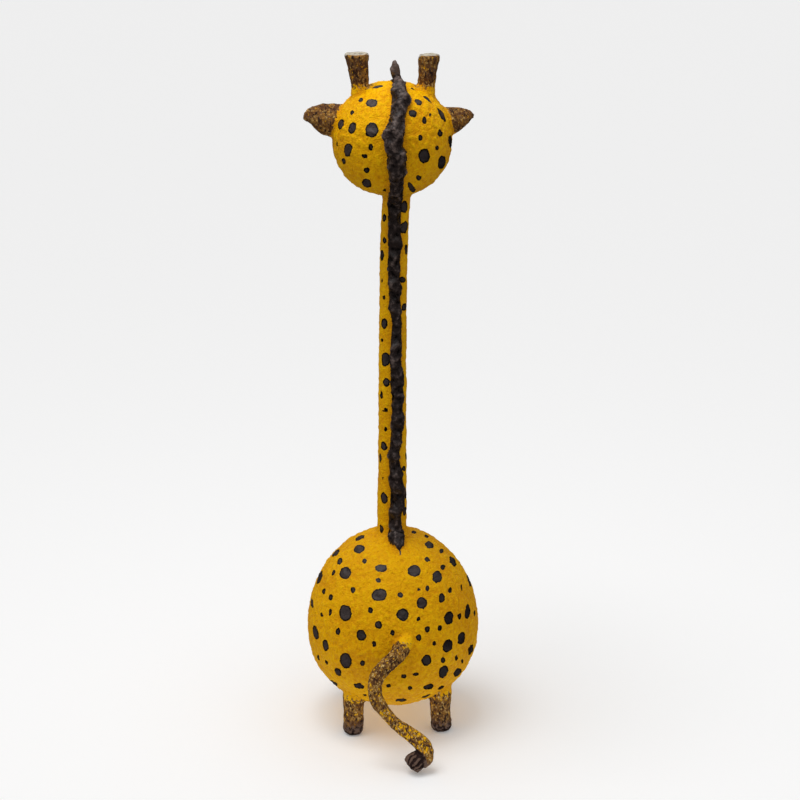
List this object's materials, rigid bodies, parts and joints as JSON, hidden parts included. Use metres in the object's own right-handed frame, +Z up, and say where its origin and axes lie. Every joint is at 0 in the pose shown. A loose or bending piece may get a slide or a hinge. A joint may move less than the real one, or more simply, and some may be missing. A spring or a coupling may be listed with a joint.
{
  "type": "giraffe statue",
  "caption": "Long-necked standing giraffe figure with a ball body and ball head, stub legs, flared horns, a mane ridge down the back and a curled tail.",
  "frame": {"origin": "on the floor, under the axis of the neck and body, midway between the tip of the muzzle and the tail tuft", "axes": "+Z up along the neck, the longest extent; the giraffe faces -Y, so +X is its left side"},
  "size_m": [0.15, 0.2458, 0.5932],
  "materials": {
    "painted_paper": "hand-painted papier mache, golden yellow with charcoal spots, dark brown mane, dry-brushed brown horns, ears, legs and tail, under a satin varnish"
  },
  "bodies": {
    "root": {"giraffe": "painted_paper"}
  },
  "joints": []
}
